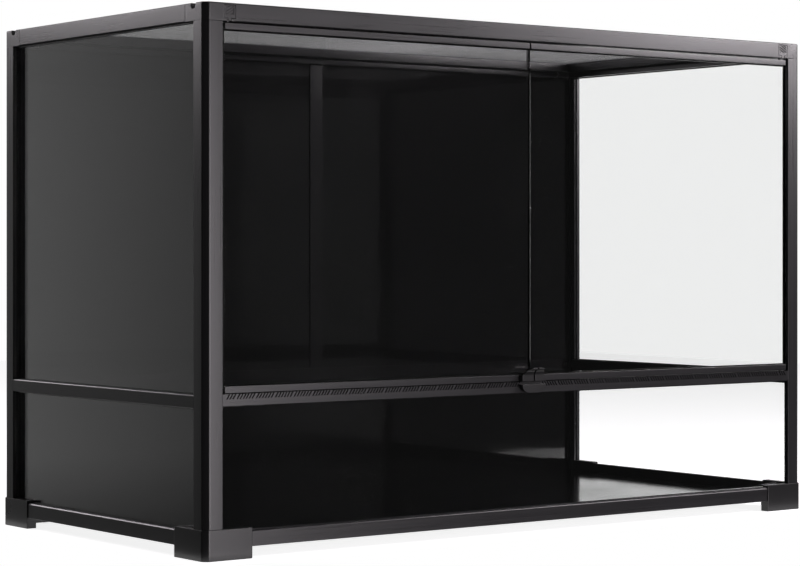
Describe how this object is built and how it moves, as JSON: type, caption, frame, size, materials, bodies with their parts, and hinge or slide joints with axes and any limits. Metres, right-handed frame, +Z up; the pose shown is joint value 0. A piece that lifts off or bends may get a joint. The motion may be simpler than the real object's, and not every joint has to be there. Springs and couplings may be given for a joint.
{
  "type": "reptile terrarium",
  "caption": "Front-opening glass reptile terrarium: black post-and-rail frame on block feet, hinged double doors over a slotted vent rail, and a lift-off mesh lid.",
  "frame": {"origin": "on the floor, at the bottom centre of the whole outline, with the handles at the front counted in", "axes": "+X along the width, to the right as seen from the doors; +Y from the doors to the back panels; +Z up"},
  "size_m": [0.9164, 0.4734, 0.604],
  "materials": {
    "satin_black": "satin black extruded profile with soft reflections",
    "moulded_black": "fine-grained moulded black plastic",
    "clear_glass": "clear polished glass, faintly green at the edges",
    "back_panel": "deep gloss black panel",
    "floor_panel": "gloss black, mirrors what stands over it",
    "gasket_rubber": "matt black flexible strip",
    "pad_rubber": "matt black pad",
    "plain_steel": "bright zinc-plated steel",
    "bush_plastic": "natural nylon",
    "mesh_steel": "woven fine steel wire mesh"
  },
  "bodies": {
    "frame": {"foot_front_left": "moulded_black", "foot_front_right": "moulded_black", "foot_rear_left": "moulded_black", "foot_rear_right": "moulded_black", "foot_pads": "pad_rubber", "foot_screws": "plain_steel", "bottom_rail_front": "satin_black", "bottom_rail_rear": "satin_black", "bottom_rail_left": "satin_black", "bottom_rail_right": "satin_black", "post_front_left": "satin_black", "post_front_right": "satin_black", "post_rear_left": "satin_black", "post_rear_right": "satin_black", "top_corner_front_left": "moulded_black", "top_corner_front_right": "moulded_black", "top_corner_rear_left": "moulded_black", "top_corner_rear_right": "moulded_black", "top_rail_front": "satin_black", "top_rail_rear": "satin_black", "top_rail_left": "satin_black", "top_rail_right": "satin_black", "mid_rail_left": "satin_black", "mid_rail_right": "satin_black", "mid_rail_rear": "satin_black", "vent_rail": "satin_black", "rear_mullion": "satin_black", "floor_panel": "floor_panel", "glass_front_lower": "clear_glass", "glass_left_upper": "clear_glass", "glass_left_lower": "clear_glass", "glass_right_upper": "clear_glass", "glass_right_lower": "clear_glass", "glass_gaskets": "gasket_rubber", "back_panel_left": "back_panel", "back_panel_right": "back_panel", "back_panel_lower": "back_panel", "hinge_bushes": "bush_plastic", "latch_keeper": "moulded_black", "latch_magnets": "plain_steel"},
    "door_left": {"door_glass_left": "clear_glass", "door_top_strip_left": "satin_black", "door_low_strip_left": "satin_black", "door_handle_left": "moulded_black", "door_strike_left": "plain_steel", "hinge_pins_left": "plain_steel"},
    "door_right": {"door_glass_right": "clear_glass", "door_top_strip_right": "satin_black", "door_low_strip_right": "satin_black", "door_handle_right": "moulded_black", "door_strike_right": "plain_steel", "hinge_pins_right": "plain_steel"},
    "lid": {"lid_frame": "satin_black", "mesh_screen": "mesh_steel", "mesh_clamp_strip": "gasket_rubber"},
    "tab_left": {"lid_release_left": "moulded_black"},
    "tab_right": {"lid_release_right": "moulded_black"}
  },
  "joints": [
    {"name": "left_door_hinge", "type": "hinge", "parent": "frame", "child": "door_left", "pos_m": [-0.4244, -0.2166, 0.38], "axis": [0, 0, -1], "range_deg": [0, 110]},
    {"name": "right_door_hinge", "type": "hinge", "parent": "frame", "child": "door_right", "pos_m": [0.4244, -0.2166, 0.38], "axis": [0, 0, 1], "range_deg": [0, 110]},
    {"name": "lid_lift", "type": "slide", "parent": "frame", "child": "lid", "axis": [0, 0, 1], "range_m": [0, 0.12]},
    {"name": "left_tab_press", "type": "hinge", "parent": "frame", "child": "tab_left", "pos_m": [-0.42475, -0.221, 0.5855], "axis": [-1, 0, 0], "range_deg": [0, 8], "stiffness_Nm_per_rad": 0.02},
    {"name": "right_tab_press", "type": "hinge", "parent": "frame", "child": "tab_right", "pos_m": [0.42475, -0.221, 0.5855], "axis": [-1, 0, 0], "range_deg": [0, 8], "stiffness_Nm_per_rad": 0.02}
  ]
}
